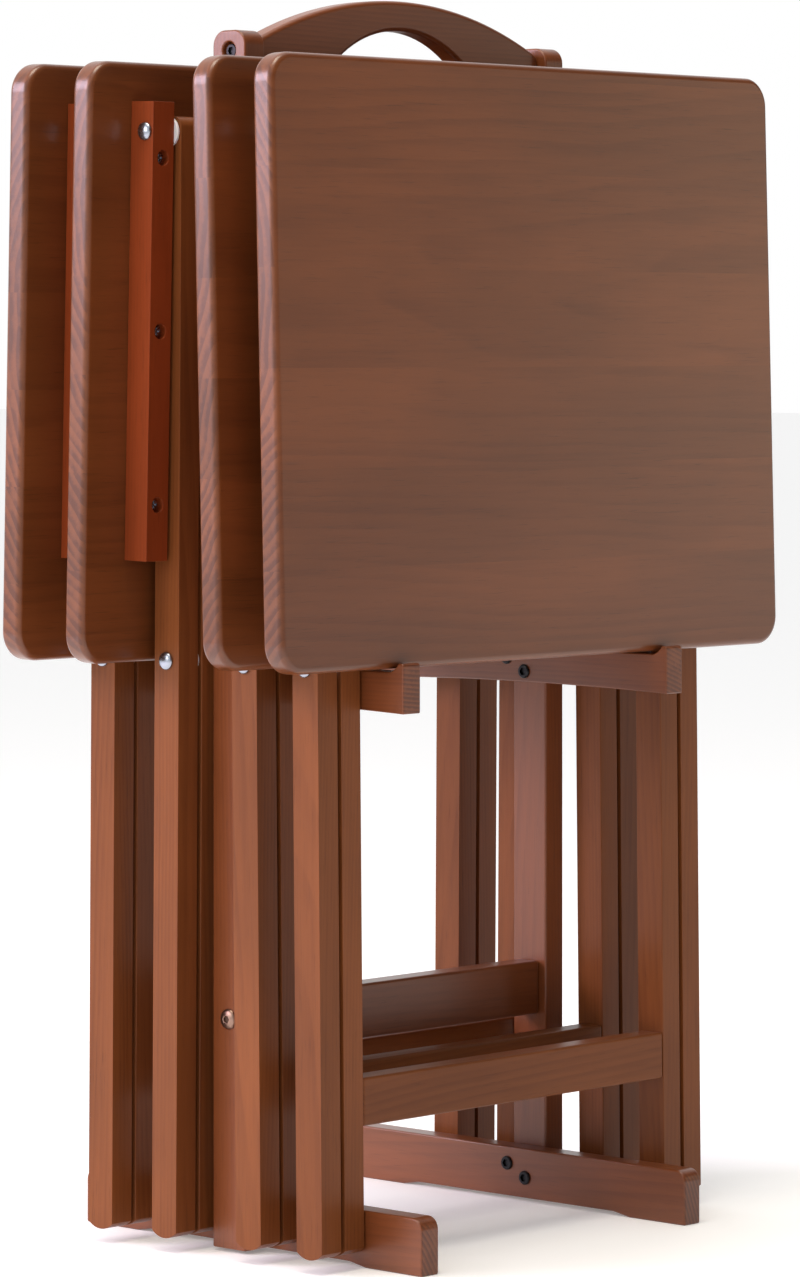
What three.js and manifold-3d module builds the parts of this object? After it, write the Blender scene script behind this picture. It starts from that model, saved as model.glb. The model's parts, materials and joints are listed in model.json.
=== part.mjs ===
// A set of four folding tray tables hung on a carrying stand, in millimetres, +Z up.
// The origin is on the floor under the middle of the set. +Y points to the back.
// The stand is two uprights on feet, with an arm on each upright that carries the folded tables.
import * as THREE from "three";
import { mergeVertices } from "three/addons/utils/BufferGeometryUtils.js";
import Module from "manifold-3d";

const wasm = await Module();
wasm.setup();

// ---- driving dimensions ----
const FIT_GAP = 0.3; // between two pieces that touch
const ROUND_SIDES = 10; // of a small bore or bolt

const STAND_X = -4.2; // the stand stands a little off the middle of the tables it carries
const UPRIGHT_OUTER = 153.5; // from the stand's middle to an upright's outer face
const UPRIGHT = { thick: 18, deep: 29, foot: 2, top: 778, cornerR: 10 };
const UPRIGHT_SINK = { z: 764.8, r: 5.6, deep: 4 }; // the counterbore of the handle's bolt
const FOOT = { half: 150, high: 36, thick: 16, endR: 8, relief: 2.5, pad: 48, ease: 14 };
const ARM = { half: 134.5, bottom: 347.8, top: 373.9, tipTop: 379.3, tipBase: 126, thick: 16, rise: 2.6 };
const STRETCHER = { bottom: 125.3, top: 161.2, thick: 18 };
const HANDLE = { bottom: 733, endTop: 772.6, crown: 803.3, thick: 16, archR: 95, archTop: 781.6 };

const TOP = { wide: 482, deep: 382, thick: 17, cornerR: 19, edgeR: 4 };
const LEG = { wide: 17.4, deep: 21.8, long: 714, topR: 7, bottomR: 16 };
const OUTER_FACE = 184; // from a table's middle to its outer legs' outer faces
const LEG_SPACING = 3.4; // the washer gap between an outer and an inner leg
const BATTEN = { wide: 18.5, deep: 20, long: 291.5, above: 19, spacing: 2.6 };
const BATTEN_SCREW = { pitch: 110, r: 5, deep: 5 };
const HINGE = { z: 704, toUnderside: 13.4, toEdge: 44 }; // the top's hinge line on the outer legs
const TOP_HANG = 0.9; // degrees that the hanging top stands off the legs
const SCISSOR_Z = 367.6;
const RAIL = { bottom: 79.8, high: 30.5, thick: 18 };
const LOCK_BAR_R = 10.5;
const BOLT = { shaft: 3, bore: 3.3, head: 5.8, dome: 3, nut: 5, nutBore: 5.3, nutThick: 3 };
const SCISSOR_WASHER_R = 9;
const HINGE_WASHER_R = 10;
const FLOOR_GAP = 8.8; // the hung tables' legs stop this far above the floor

// Each table: its number, which way it faces, its shift sideways, the distance of its legs from the
// stand's middle plane at the floor, and how far they lean towards the stand, in degrees.
const TABLES = [
  { number: 1, facing: "front", x: 4.3, y: 81.5, lean: 0.6 },
  { number: 2, facing: "front", x: 4.3, y: 28.3, lean: 0.6 },
  { number: 3, facing: "back", x: -0.9, y: 20.3, lean: 0.4 },
  { number: 4, facing: "back", x: -4.2, y: 75.3, lean: 0.4 },
];

// ---- finishes ----
const wood = (color) => new THREE.MeshStandardMaterial({ color, roughness: 0.42, metalness: 0 });
const topWood = () => wood(0x7a4a31);
const legWood = () => wood(0x8a4d2c);
const battenWood = () => wood(0x7d3519);
const standWood = () => wood(0x6c4430);
const steel = () => new THREE.MeshStandardMaterial({ color: 0xaab0b8, roughness: 0.3, metalness: 1 });

// ---- solids ----
function toSolid(geometry) {
  const bare = geometry.clone();
  bare.deleteAttribute("normal");
  bare.deleteAttribute("uv");
  const merged = mergeVertices(bare, 1e-3);
  return new wasm.Manifold(
    new wasm.Mesh({
      numProp: 3,
      vertProperties: merged.attributes.position.array,
      triVerts: new Uint32Array(merged.index.array),
    }),
  );
}

function toGeometry(solid) {
  const mesh = solid.getMesh();
  const geometry = new THREE.BufferGeometry();
  geometry.setAttribute("position", new THREE.BufferAttribute(mesh.vertProperties, 3));
  geometry.setIndex(new THREE.BufferAttribute(mesh.triVerts, 1));
  return geometry;
}

const cutFrom = (geometry, cutters) =>
  toGeometry(cutters.reduce((left, cutter) => left.subtract(toSolid(cutter)), toSolid(geometry)));

// A cylinder along X from x0 to x1.
function rodX(r, x0, x1, y, z, sides = ROUND_SIDES) {
  const rod = new THREE.CylinderGeometry(r, r, x1 - x0, sides);
  rod.rotateZ(-Math.PI / 2);
  rod.translate((x0 + x1) / 2, y, z);
  return rod;
}

// A side view drawn as (y, z), made thick along X from x0 to x1.
function slab(profile, x0, x1, curveSegments = 4) {
  const geometry = new THREE.ExtrudeGeometry(profile, { depth: x1 - x0, bevelEnabled: false, curveSegments });
  geometry.rotateY(Math.PI / 2);
  geometry.rotateX(Math.PI / 2);
  geometry.translate(x0, 0, 0);
  return geometry;
}

function mesh(name, geometry, material) {
  const piece = new THREE.Mesh(geometry, material);
  piece.name = name;
  return piece;
}

const SIDES = [
  { word: "left", sign: -1 },
  { word: "right", sign: 1 },
];

// The span along X of a piece that lies between two distances from the middle, on one side.
const span = (sign, near, far) => (sign > 0 ? [near, far] : [-far, -near]);

// ---- the stand ----
function uprightProfile() {
  const { deep, foot, top, cornerR } = UPRIGHT;
  const half = deep / 2;
  const profile = new THREE.Shape();
  profile.moveTo(-half, foot);
  profile.lineTo(half, foot);
  profile.lineTo(half, top - cornerR);
  profile.absarc(half - cornerR, top - cornerR, cornerR, 0, Math.PI / 2);
  profile.absarc(cornerR - half, top - cornerR, cornerR, Math.PI / 2, Math.PI);
  return profile;
}

function footProfile() {
  const { half, high, endR, relief, pad, ease } = FOOT;
  const profile = new THREE.Shape();
  profile.moveTo(-half, 0);
  profile.lineTo(pad - half, 0);
  profile.lineTo(pad + ease - half, relief);
  profile.lineTo(half - pad - ease, relief);
  profile.lineTo(half - pad, 0);
  profile.lineTo(half, 0);
  profile.lineTo(half, high - endR);
  profile.absarc(half - endR, high - endR, endR, 0, Math.PI / 2);
  profile.absarc(endR - half, high - endR, endR, Math.PI / 2, Math.PI);
  return profile;
}

// The arm's upper edge turns up into a tip at each end, which keeps the outermost table on.
function armProfile() {
  const { half, bottom, top, tipTop, tipBase, rise } = ARM;
  const tipFlat = tipBase + 4;
  const roundR = 2;
  const profile = new THREE.Shape();
  profile.moveTo(-half, bottom);
  profile.quadraticCurveTo(0, bottom + 2 * rise, half, bottom);
  profile.lineTo(half, tipTop - roundR);
  profile.absarc(half - roundR, tipTop - roundR, roundR, 0, Math.PI / 2);
  profile.lineTo(tipFlat, tipTop);
  profile.quadraticCurveTo(tipBase + 1, top + 1, tipBase - 3, top);
  profile.lineTo(3 - tipBase, top);
  profile.quadraticCurveTo(-tipBase - 1, top + 1, -tipFlat, tipTop);
  profile.lineTo(roundR - half, tipTop);
  profile.absarc(roundR - half, tipTop - roundR, roundR, Math.PI / 2, Math.PI);
  return profile;
}

// The handle's front view, drawn as (x, z): an arched top over an arch for the hand.
function handleProfile() {
  const { bottom, endTop, crown, archR, archTop } = HANDLE;
  const half = UPRIGHT_OUTER - UPRIGHT.thick - FIT_GAP;
  const rise = crown - endTop;
  const crownR = (half * half + rise * rise) / (2 * rise);
  const crownEnd = Math.asin(half / crownR);
  const archZ = archTop - archR;
  const archEnd = Math.asin((bottom - archZ) / archR);
  const archHalf = archR * Math.cos(archEnd);
  const profile = new THREE.Shape();
  profile.moveTo(-half, bottom);
  profile.lineTo(-archHalf, bottom);
  profile.absarc(0, archZ, archR, Math.PI - archEnd, archEnd, true);
  profile.lineTo(half, bottom);
  profile.absarc(0, crown - crownR, crownR, Math.PI / 2 - crownEnd, Math.PI / 2 + crownEnd);
  return profile;
}

function handleGeometry() {
  const { thick } = HANDLE;
  const geometry = new THREE.ExtrudeGeometry(handleProfile(), {
    depth: thick,
    bevelEnabled: false,
    curveSegments: 16,
  });
  geometry.rotateX(Math.PI / 2);
  geometry.translate(0, thick / 2, 0);
  return geometry;
}

function stretcherGeometry() {
  const { bottom, top, thick } = STRETCHER;
  const long = 2 * (UPRIGHT_OUTER - UPRIGHT.thick - FIT_GAP);
  const geometry = new THREE.BoxGeometry(long, thick, top - bottom);
  geometry.translate(0, 0, (bottom + top) / 2);
  return geometry;
}

function stand() {
  const group = new THREE.Group();
  group.position.x = STAND_X;
  const inner = UPRIGHT_OUTER - UPRIGHT.thick;
  for (const { word, sign } of SIDES) {
    const { z, r, deep } = UPRIGHT_SINK;
    const sink = rodX(r, ...span(sign, UPRIGHT_OUTER - deep, UPRIGHT_OUTER + 1), 0, z);
    const post = slab(uprightProfile(), ...span(sign, inner, UPRIGHT_OUTER));
    const foot = slab(footProfile(), ...span(sign, inner - FIT_GAP - FOOT.thick, inner - FIT_GAP));
    const arm = slab(armProfile(), ...span(sign, inner - FIT_GAP - ARM.thick, inner - FIT_GAP));
    group.add(mesh(`stand_upright_${word}`, cutFrom(post, [sink]), standWood()));
    group.add(mesh(`stand_foot_${word}`, foot, standWood()));
    group.add(mesh(`stand_arm_${word}`, arm, standWood()));
  }
  group.add(mesh("stand_handle", handleGeometry(), standWood()));
  group.add(mesh("stand_stretcher", stretcherGeometry(), standWood()));
  return group;
}

// ---- one folded table ----
// Its frame: z = 0 at the legs' feet, y = 0 at the legs' faces towards the stand, +Y away from it.
function legProfile() {
  const { deep, long, topR, bottomR } = LEG;
  const sole = Math.asin(deep / 2 / bottomR);
  const profile = new THREE.Shape();
  profile.absarc(deep / 2, bottomR, bottomR, -Math.PI / 2 - sole, -Math.PI / 2 + sole);
  profile.lineTo(deep, long - topR);
  profile.absarc(deep - topR, long - topR, topR, 0, Math.PI / 2);
  profile.absarc(topR, long - topR, topR, Math.PI / 2, Math.PI);
  return profile;
}

const LEG_MIDDLE = LEG.deep / 2;
const OUTER_INSIDE = OUTER_FACE - LEG.wide;
const INNER_OUTSIDE = OUTER_INSIDE - LEG_SPACING;
const INNER_INSIDE = INNER_OUTSIDE - LEG.wide;

function outerLeg(sign) {
  const leg = slab(legProfile(), ...span(sign, OUTER_INSIDE, OUTER_FACE));
  const through = span(sign, OUTER_INSIDE - 1, OUTER_FACE + 1);
  const pocket = span(sign, OUTER_INSIDE - 1, OUTER_INSIDE + BOLT.nutThick + FIT_GAP);
  return cutFrom(leg, [
    rodX(BOLT.bore, ...through, LEG_MIDDLE, SCISSOR_Z),
    rodX(BOLT.bore, ...through, LEG_MIDDLE, HINGE.z),
    rodX(BOLT.nutBore, ...pocket, LEG_MIDDLE, HINGE.z),
  ]);
}

function innerLeg(sign) {
  const leg = slab(legProfile(), ...span(sign, INNER_INSIDE, INNER_OUTSIDE));
  const through = span(sign, INNER_INSIDE - 1, INNER_OUTSIDE + 1);
  const pocket = span(sign, INNER_INSIDE - 1, INNER_INSIDE + BOLT.nutThick + FIT_GAP);
  return cutFrom(leg, [
    rodX(BOLT.bore, ...through, LEG_MIDDLE, SCISSOR_Z),
    rodX(BOLT.nutBore, ...pocket, LEG_MIDDLE, SCISSOR_Z),
  ]);
}

// A bolt along X with a domed head at its outer end, a washer collar and a sunk nut.
// The distances are from the table's middle: head, both faces of the washer, and the nut's two ends.
function bolt(sign, headAt, washerOut, washerIn, washerR, nutOut, nutIn) {
  const { shaft, head, dome, nut } = BOLT;
  const outline = [
    [0, nutIn],
    [nut, nutIn],
    [nut, nutOut],
    [shaft, nutOut],
    [shaft, washerIn],
    [washerR, washerIn],
    [washerR, washerOut],
    [shaft, washerOut],
    [shaft, headAt],
    [head, headAt],
    [head * 0.7, headAt + dome * 0.8],
    [0, headAt + dome],
  ];
  const geometry = new THREE.LatheGeometry(
    outline.map(([r, along]) => new THREE.Vector2(r, along)),
    ROUND_SIDES,
  );
  geometry.rotateZ(-Math.PI / 2);
  if (sign < 0) geometry.rotateZ(Math.PI);
  return geometry;
}

function scissorBolt(sign) {
  const geometry = bolt(
    sign,
    OUTER_FACE + FIT_GAP,
    OUTER_INSIDE - FIT_GAP,
    INNER_OUTSIDE + FIT_GAP,
    SCISSOR_WASHER_R,
    INNER_INSIDE + BOLT.nutThick,
    INNER_INSIDE + FIT_GAP,
  );
  geometry.translate(0, LEG_MIDDLE, SCISSOR_Z);
  return geometry;
}

const BATTEN_INSIDE = OUTER_FACE + BATTEN.spacing;
const BATTEN_OUTSIDE = BATTEN_INSIDE + BATTEN.wide;

// The hinge bolt is in the top's frame, whose origin is on the hinge line.
const hingeBolt = (sign) =>
  bolt(
    sign,
    BATTEN_OUTSIDE + FIT_GAP,
    BATTEN_INSIDE - FIT_GAP,
    OUTER_FACE + FIT_GAP,
    HINGE_WASHER_R,
    OUTER_INSIDE + BOLT.nutThick,
    OUTER_INSIDE + FIT_GAP,
  );

// The tabletop's outline is drawn as (x, z) and made thick along +Y, with both edges rounded over.
function tabletop() {
  const { wide, deep, thick, cornerR, edgeR } = TOP;
  const x = wide / 2 - edgeR;
  const high = HINGE.toEdge - edgeR;
  const low = HINGE.toEdge - deep + edgeR;
  const r = cornerR - edgeR;
  const outline = new THREE.Shape();
  outline.moveTo(r - x, low);
  outline.lineTo(x - r, low);
  outline.absarc(x - r, low + r, r, -Math.PI / 2, 0);
  outline.absarc(x - r, high - r, r, 0, Math.PI / 2);
  outline.absarc(r - x, high - r, r, Math.PI / 2, Math.PI);
  outline.absarc(r - x, low + r, r, Math.PI, 1.5 * Math.PI);
  const geometry = new THREE.ExtrudeGeometry(outline, {
    depth: thick - 2 * edgeR,
    bevelThickness: edgeR,
    bevelSize: edgeR,
    bevelSegments: 2,
    curveSegments: 4,
  });
  geometry.rotateX(Math.PI / 2);
  geometry.translate(0, HINGE.toUnderside + thick - edgeR, 0);
  return geometry;
}

// A batten is glued and screwed to the underside, outside the outer legs.
function batten(sign) {
  const { pitch, r, deep } = BATTEN_SCREW;
  const far = HINGE.toUnderside - FIT_GAP;
  const near = far - BATTEN.deep;
  const middleX = (sign * (BATTEN_INSIDE + BATTEN_OUTSIDE)) / 2;
  const middleZ = BATTEN.above - BATTEN.long / 2;
  const bar = new THREE.BoxGeometry(BATTEN.wide, BATTEN.deep, BATTEN.long);
  bar.translate(middleX, (near + far) / 2, middleZ);
  const bore = rodX(BOLT.bore, ...span(sign, BATTEN_INSIDE - 1, BATTEN_OUTSIDE + 1), 0, 0);
  const sinks = [-1, 0, 1].map((step) => {
    const sink = new THREE.CylinderGeometry(r, r, 2 * deep, ROUND_SIDES);
    sink.translate(middleX, near, middleZ + step * pitch);
    return sink;
  });
  return cutFrom(bar, [bore, ...sinks]);
}

function lowerRail() {
  const { bottom, high, thick } = RAIL;
  const geometry = new THREE.BoxGeometry(2 * (INNER_INSIDE - FIT_GAP), thick, high);
  geometry.translate(0, LEG.deep - thick / 2, bottom + high / 2);
  return geometry;
}

const lockBar = () =>
  rodX(LOCK_BAR_R, FIT_GAP - INNER_INSIDE, INNER_INSIDE - FIT_GAP, LEG_MIDDLE, HINGE.z, 2 * ROUND_SIDES);

function foldedTable({ number, facing, x, y, lean }) {
  const name = (piece) => `tray_${number}_${piece}`;
  const table = new THREE.Group();
  const top = new THREE.Group();
  for (const { word, sign } of SIDES) {
    table.add(mesh(name(`outer_leg_${word}`), outerLeg(sign), legWood()));
    table.add(mesh(name(`inner_leg_${word}`), innerLeg(sign), legWood()));
    table.add(mesh(name(`scissor_bolt_${word}`), scissorBolt(sign), steel()));
    top.add(mesh(name(`batten_${word}`), batten(sign), battenWood()));
    top.add(mesh(name(`hinge_bolt_${word}`), hingeBolt(sign), steel()));
  }
  table.add(mesh(name("lower_rail"), lowerRail(), legWood()));
  table.add(mesh(name("lock_bar"), lockBar(), legWood()));
  top.add(mesh(name("tabletop"), tabletop(), topWood()));
  top.position.set(0, LEG_MIDDLE, HINGE.z);
  top.rotation.x = THREE.MathUtils.degToRad(TOP_HANG);
  table.add(top);

  // A table at the front is the same table turned half round, so that its top faces the front.
  // Its left and right stay its own.
  const front = facing === "front";
  const turned = new THREE.Group();
  table.rotation.x = THREE.MathUtils.degToRad(lean);
  table.position.set(0, y, FLOOR_GAP);
  turned.rotation.z = front ? Math.PI : 0;
  turned.position.x = x;
  turned.add(table);
  return turned;
}

const group = new THREE.Group();
group.add(stand());
TABLES.forEach((table) => group.add(foldedTable(table)));

export default group;
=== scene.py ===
"""Four folding tray tables, folded and hung on their carrying stand.

The sections follow the work: first the stand, from its posts to its bolts, then the tables, from
their legs to their screws, and last the room, the lights and the camera. Lengths are in metres.
"""

import json
import math
import random

import bmesh
import bpy
import numpy as np
from mathutils import Matrix, Vector

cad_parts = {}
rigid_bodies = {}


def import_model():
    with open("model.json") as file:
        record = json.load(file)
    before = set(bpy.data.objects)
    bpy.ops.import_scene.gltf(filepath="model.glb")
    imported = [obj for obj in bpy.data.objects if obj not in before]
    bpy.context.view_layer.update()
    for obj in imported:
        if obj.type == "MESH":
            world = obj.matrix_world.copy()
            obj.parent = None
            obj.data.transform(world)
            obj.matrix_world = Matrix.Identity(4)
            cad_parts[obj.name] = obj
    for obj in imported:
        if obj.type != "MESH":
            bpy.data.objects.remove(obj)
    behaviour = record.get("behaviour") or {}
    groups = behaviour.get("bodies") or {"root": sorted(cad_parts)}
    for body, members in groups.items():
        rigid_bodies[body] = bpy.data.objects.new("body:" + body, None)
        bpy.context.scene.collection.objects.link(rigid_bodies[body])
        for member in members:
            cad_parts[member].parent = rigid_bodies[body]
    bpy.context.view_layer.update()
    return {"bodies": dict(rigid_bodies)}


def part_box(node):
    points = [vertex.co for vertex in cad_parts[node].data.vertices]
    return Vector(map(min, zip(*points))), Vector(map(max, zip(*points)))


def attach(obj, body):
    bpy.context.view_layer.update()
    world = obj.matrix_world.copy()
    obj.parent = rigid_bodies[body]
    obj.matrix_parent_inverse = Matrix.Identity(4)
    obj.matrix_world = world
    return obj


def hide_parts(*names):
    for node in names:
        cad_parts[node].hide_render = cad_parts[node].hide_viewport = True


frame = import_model()

# ------------------------------------------------------------------ the stand's two posts
# A post is planed hardwood stock with round shoulders at its top. Its edges are rounded over, it is
# stained brown and lacquered, and a counterbore near the top takes the bolt that holds the handle.

MM = 0.001
SIDES = ("left", "right")
POST_SHOULDER = 10 * MM
POST_EDGE = 1.3 * MM
SINK_R = 5.6 * MM
SINK_DEEP = 4 * MM
SINK_BELOW_TOP = 13.2 * MM
STAND_EARLY = (0.205, 0.055, 0.015)
STAND_LATE = (0.095, 0.022, 0.006)
CORNER_ANGLE = 32
PLANK_SPOTS = ((0, 9), (0.02, 0.16), (0.03, 0.12))


def arc(middle_u, middle_v, radius, start, end, steps=10):
    """The points of an arc in an outline, from one angle to another, in degrees."""
    turns = [math.radians(start + (end - start) * i / steps) for i in range(steps + 1)]
    return [(middle_u + radius * math.cos(a), middle_v + radius * math.sin(a)) for a in turns]


def sawn(outline, near, far, across):
    """A board sawn to an outline of (y, z) points, thick along X, or of (x, z) points, thick along Y."""
    bm = bmesh.new()
    rows = []
    for depth in (near, far):
        spots = [(depth, u, v) if across == "X" else (u, depth, v) for u, v in outline]
        rows.append([bm.verts.new(p) for p in spots])
    bm.faces.new(rows[0])
    bm.faces.new(reversed(rows[1]))
    count = len(outline)
    for i in range(count):
        j = (i + 1) % count
        bm.faces.new((rows[0][i], rows[1][i], rows[1][j], rows[0][j]))
    bmesh.ops.recalc_face_normals(bm, faces=bm.faces)
    mesh = bpy.data.meshes.new("sawn")
    bm.to_mesh(mesh)
    bm.free()
    return mesh


def drum(middle, along, radius, length, sides=32):
    """A short cylinder about a middle point: the shape that a drill or a counterbore takes out."""
    bm = bmesh.new()
    turn = Vector((0, 0, 1)).rotation_difference(Vector(along)).to_matrix().to_4x4()
    bmesh.ops.create_cone(
        bm, cap_ends=True, segments=sides, radius1=radius, radius2=radius, depth=length,
        matrix=Matrix.Translation(middle) @ turn,
    )
    mesh = bpy.data.meshes.new("drum")
    bm.to_mesh(mesh)
    bm.free()
    return mesh


def add_object(name, mesh):
    """Puts a mesh in the scene under its piece's name."""
    made = bpy.data.objects.new(name, mesh)
    bpy.context.scene.collection.objects.link(made)
    return made


def settle(made):
    """Turns an object's modifiers into plain mesh."""
    depsgraph = bpy.context.evaluated_depsgraph_get()
    mesh = bpy.data.meshes.new_from_object(made.evaluated_get(depsgraph))
    made.modifiers.clear()
    made.data = mesh


def machined(name, mesh, edge, grain, place=Matrix(), bores=(), edge_steps=3):
    """A sawn board with its bores cut and its edges rounded over, moved to its place.

    Each corner of the mesh keeps its spot in the plank that the board was cut from, as the attribute
    "plank": along the grain first, then across it. Every board comes from a plank of its own. The
    attribute "end_grain" is 1 where the face is cut square across the grain, and 0 along it.
    """
    mesh.shade_smooth()
    made = add_object(name, mesh)
    for number, bore in enumerate(bores):
        tool = add_object(f"{name}_bore_{number}", bore)
        cut = made.modifiers.new("bore", "BOOLEAN")
        cut.operation = "DIFFERENCE"
        cut.solver = "EXACT"
        cut.object = tool
    rounding = made.modifiers.new("rounded edges", "BEVEL")
    rounding.width = edge
    rounding.segments = edge_steps
    rounding.limit_method = "ANGLE"
    rounding.angle_limit = math.radians(CORNER_ANGLE)
    rounding.harden_normals = True
    flat_faces = made.modifiers.new("flat faces", "WEIGHTED_NORMAL")
    flat_faces.weight = 100
    settle(made)
    for number in range(len(bores)):
        bpy.data.objects.remove(bpy.data.objects[f"{name}_bore_{number}"])
    chance = random.Random(name)
    spot_in_plank = [chance.uniform(start, end) for start, end in PLANK_SPOTS]
    order = {"X": (0, 1, 2), "Y": (1, 0, 2), "Z": (2, 0, 1)}[grain]
    plank = made.data.attributes.new("plank", "FLOAT_VECTOR", "POINT")
    points = np.zeros(3 * len(made.data.vertices), np.float32)
    made.data.vertices.foreach_get("co", points)
    points = points.reshape(-1, 3)[:, order] + np.array(spot_in_plank, np.float32)
    plank.data.foreach_set("vector", points.ravel())
    ends = made.data.attributes.new("end_grain", "FLOAT", "POINT")
    ends.data.foreach_set("value", [abs(v.normal["XYZ".index(grain)]) for v in made.data.vertices])
    made.data.transform(place)
    return made


# The wood's patterns. Each is noise, drawn out along the grain by the first number, then with a scale
# in features to the metre, a detail and a roughness.
GRAIN_WANDER = (0.22, 9, 2, 0.55)
GRAIN_STREAKS = (0.045, 420, 5, 0.62)
GRAIN_BANDS = (0.045, 60, 4, 0.60)
GRAIN_PORES = (0.03, 1500, 2, 0.55)
GRAIN_CLOUDS = (0.45, 7, 3, 0.55)

# The year rings. A ring wanders by some ring widths, darkens and then pales over parts of its width,
# and shows more on cut ends than on faces. The ramps are (from, to, value at from, value at to).
HEART_STRETCH = 0.03
RING_WANDER = 5.0
RING_DARKENS = (0.15, 0.86, 0.0, 1.0)
RING_PALES = (0.90, 1.0, 1.0, 0.0)
CUT_END = (0.6, 0.95, 0.0, 1.0)
RINGS_ON_FACES = 0.24
RINGS_MORE_ON_ENDS = 0.55
CONTRAST_MORE_ON_ENDS = 0.35
RINGS_BY_BANDS = (0.36, 0.62, 0.45, 1.25)
BANDS_IN_FIGURE = 0.70
STREAKS_IN_FIGURE = 0.70
STAVES_IN_FIGURE = 0.16
STAVE_SHIFT = (4.0, 0.12, 0.03)
FIGURE_TO_STAIN = (0.10, 0.95, 0.0, 1.0)
CLOUD_SHADE = (0.3, 0.72, 0.82, 1.16)
PORE_STAIN = (0.60, 0.74, 0.0, 0.32)
PORE_DARK = 0.35

# The lacquer's unevenness over streaks and clouds, and the relief that streaks and pores leave in it.
GLOSS_BY_STREAKS = 0.10
GLOSS_BY_CLOUDS = 0.06
COAT_ROUGH = 0.26
STREAK_RELIEF = 0.7
PORE_RELIEF = 0.9
RELIEF_STRENGTH = 0.16
RELIEF_DEEP = 0.6 * MM


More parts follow.
